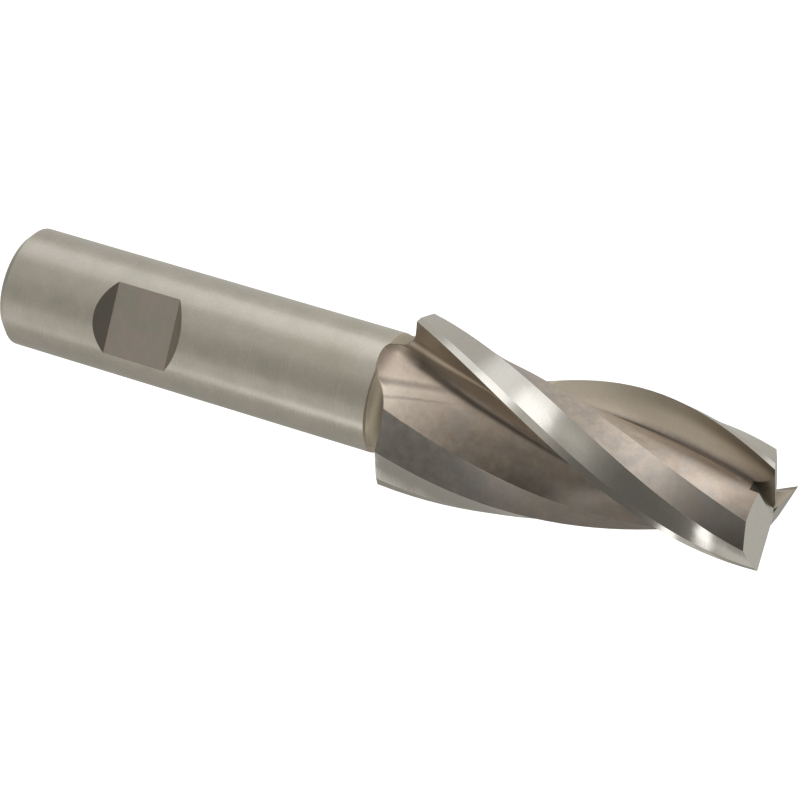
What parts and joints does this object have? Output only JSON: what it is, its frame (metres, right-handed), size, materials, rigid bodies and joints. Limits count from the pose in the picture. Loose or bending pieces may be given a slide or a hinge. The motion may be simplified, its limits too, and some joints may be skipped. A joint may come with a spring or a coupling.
{
  "type": "tapered end mill",
  "caption": "Tapered helical end mill in one piece of tool steel, with a straight round shank, a set-screw flat and relieved end teeth.",
  "frame": {"origin": "centre of the shank's flat rear face, on the tool's axis", "axes": "+Z along the tool's axis from the shank end to the cutting tip; -Y faces out of the set-screw flat; the tool stands on its shank end"},
  "size_m": [0.0273, 0.027, 0.127],
  "materials": {
    "tool_steel": "ground and satin, with tan oxide in the flutes"
  },
  "bodies": {
    "root": {"end_mill": "tool_steel"}
  },
  "joints": []
}
